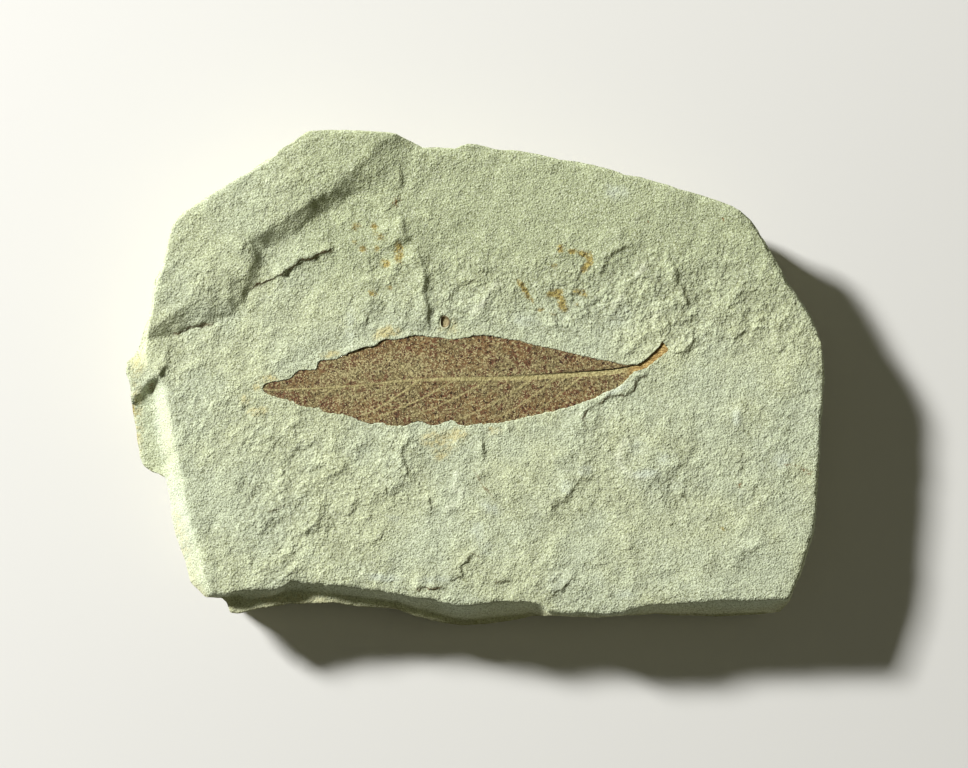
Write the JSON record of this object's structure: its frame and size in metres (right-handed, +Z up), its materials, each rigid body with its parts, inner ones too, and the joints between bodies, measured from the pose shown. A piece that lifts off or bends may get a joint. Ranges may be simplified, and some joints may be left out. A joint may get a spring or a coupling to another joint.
{
  "type": "fossil leaf plate",
  "caption": "Broken slab of pale shale lying flat, with the brown carbon film of a narrow fossil leaf and a small seed print in its top.",
  "frame": {"origin": "middle of the flat underside the slab rests on", "axes": "+Z up out of the bedding surface that carries the leaf, +X from the leaf's tip to its stalk, +Y to the slab's back edge"},
  "size_m": [0.1168, 0.0826, 0.0172],
  "materials": {
    "shale": "matte",
    "leaf_film": "matte",
    "seed_film": "matte"
  },
  "bodies": {
    "root": {"slab": "shale", "leaf": "leaf_film", "seed": "seed_film"}
  },
  "joints": []
}
